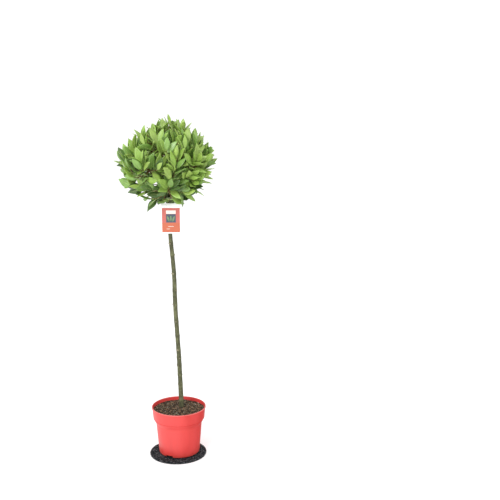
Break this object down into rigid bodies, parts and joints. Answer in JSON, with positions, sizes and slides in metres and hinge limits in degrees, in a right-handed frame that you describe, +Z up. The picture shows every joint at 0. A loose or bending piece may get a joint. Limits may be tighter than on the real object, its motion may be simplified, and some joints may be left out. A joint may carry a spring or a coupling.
{
  "type": "standard bay topiary in a pot",
  "caption": "Bay tree trained as a standard: a round clipped leafy head on a slender bare trunk, in a round plastic pot with a deep collar.",
  "frame": {"origin": "on the pot's axis, level with the underside of the round mat that the pot stands on", "axes": "+Z up; -Y towards the front, where the label hangs; +X to the right seen from the front"},
  "size_m": [0.4124, 0.4339, 1.5299],
  "materials": {
    "rubber": "matt black crumb rubber with pale specks",
    "pot_plastic": "smooth red moulded plastic with a soft sheen",
    "compost": "loose dark brown compost",
    "bark": "smooth olive grey bark with small scars",
    "leaves": "leathery green leaves, glossy above and paler below",
    "card": "printed plastic card"
  },
  "bodies": {
    "root": {"mat": "rubber", "pot": "pot_plastic", "compost": "compost", "trunk": "bark", "bough_lower_1": "bark", "bough_lower_2": "bark", "bough_lower_3": "bark", "bough_lower_4": "bark", "bough_middle_1": "bark", "bough_middle_2": "bark", "bough_middle_3": "bark", "bough_middle_4": "bark", "bough_upper_1": "bark", "bough_upper_2": "bark", "bough_upper_3": "bark", "bough_crown": "bark", "foliage_lower_1": "leaves", "foliage_lower_2": "leaves", "foliage_lower_3": "leaves", "foliage_lower_4": "leaves", "foliage_middle_1": "leaves", "foliage_middle_2": "leaves", "foliage_middle_3": "leaves", "foliage_middle_4": "leaves", "foliage_upper_1": "leaves", "foliage_upper_2": "leaves", "foliage_upper_3": "leaves", "foliage_crown": "leaves", "label": "card"}
  },
  "joints": []
}
